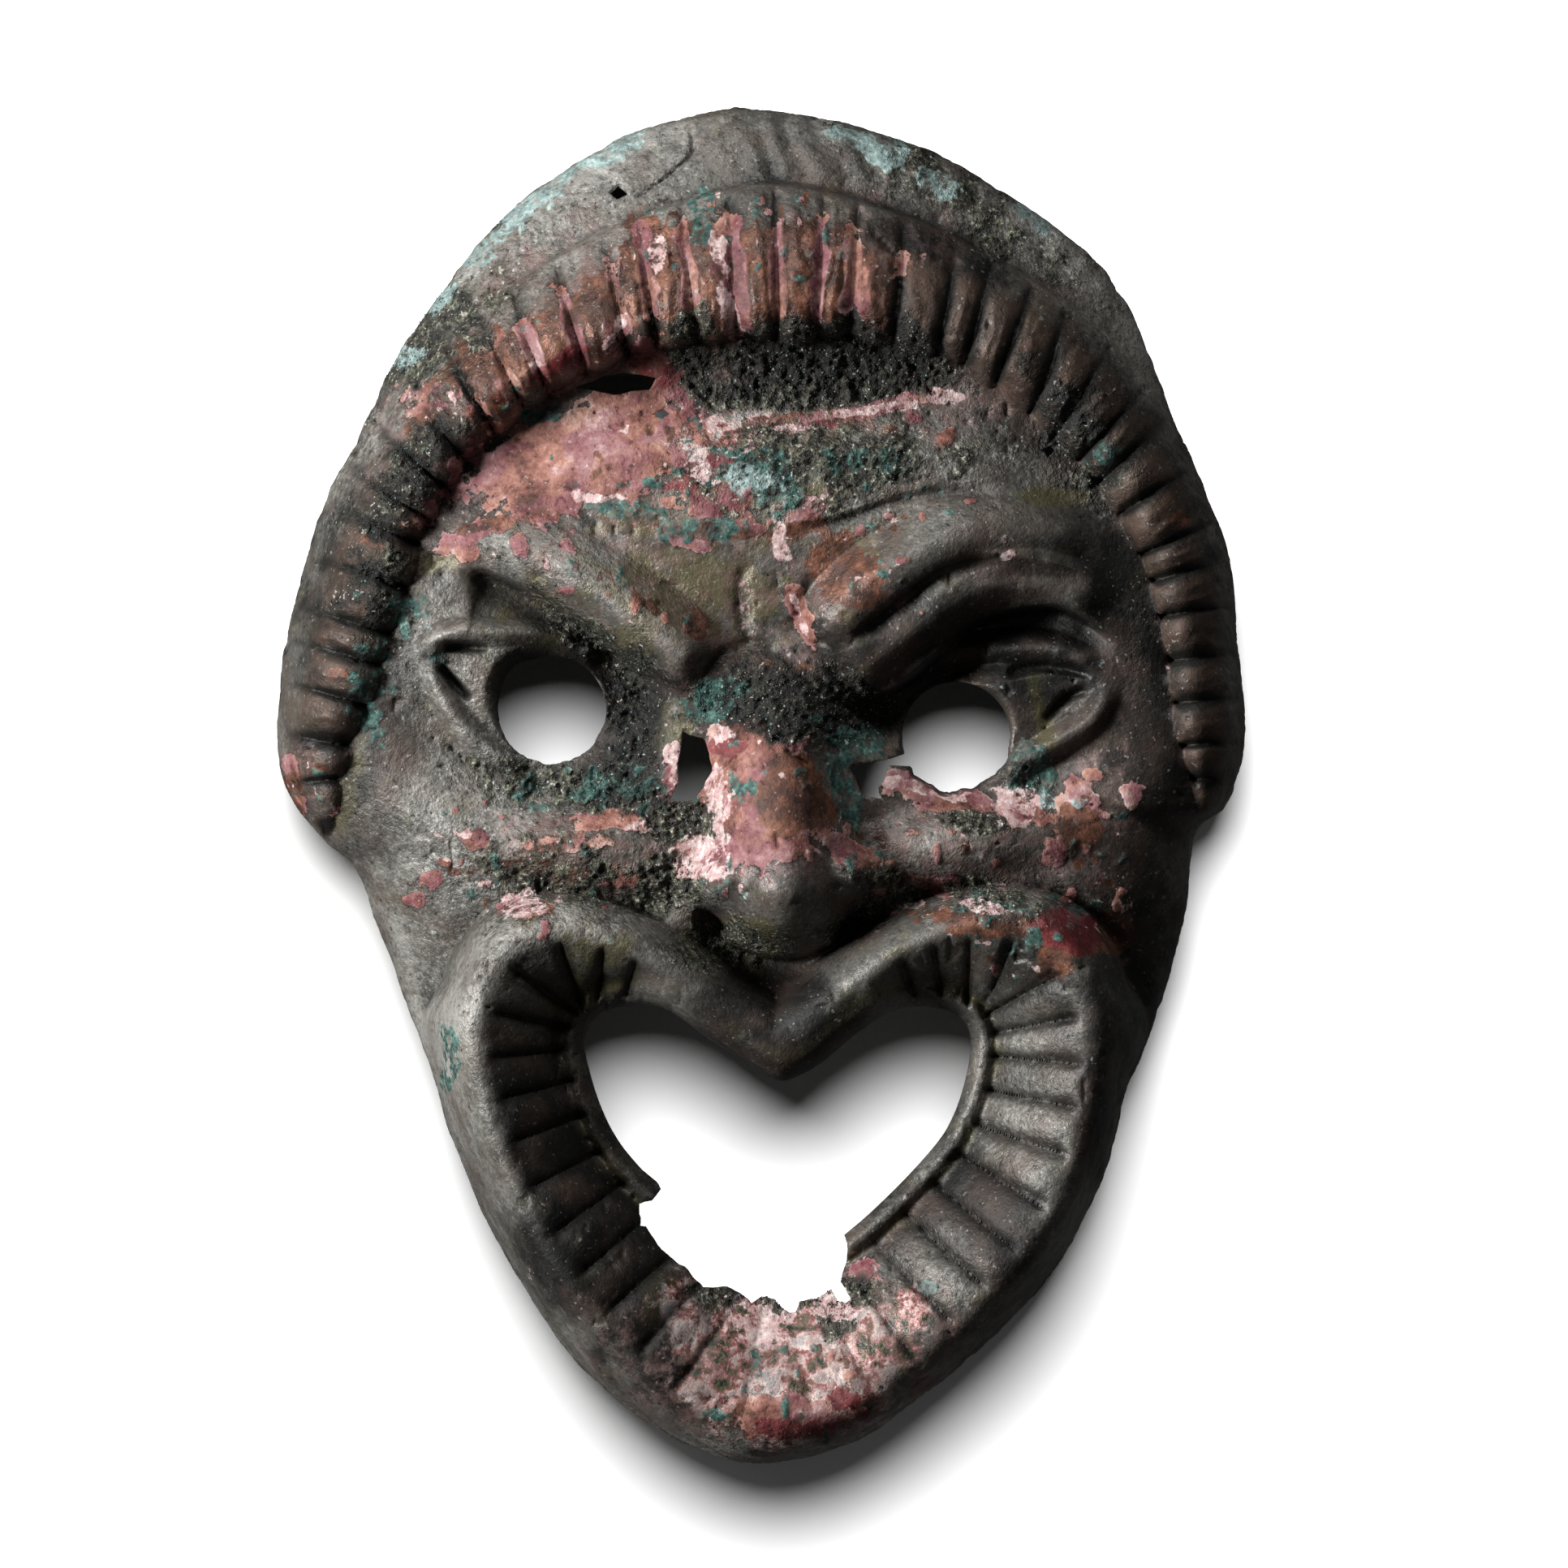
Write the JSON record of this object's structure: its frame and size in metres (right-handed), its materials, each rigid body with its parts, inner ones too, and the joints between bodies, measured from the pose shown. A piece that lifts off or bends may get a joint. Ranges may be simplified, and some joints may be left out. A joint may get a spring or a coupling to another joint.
{
  "type": "theatre mask",
  "caption": "Ancient style bronze comic theatre mask: rolled hair, knitted brows, pierced eyes and a wide fluted trumpet mouth, hollow behind, lying face up.",
  "frame": {"origin": "middle of the mask's box, in the plane of the rim that it lies on", "axes": "+X to the right as the face is seen from the front, +Y up to the crown of the head, +Z out of the face, away from the rim"},
  "size_m": [0.171, 0.2395, 0.0663],
  "materials": {
    "bronze": "dark brown-grey corroded patina with pink, green and turquoise patches"
  },
  "bodies": {
    "root": {"mask": "bronze"}
  },
  "joints": []
}
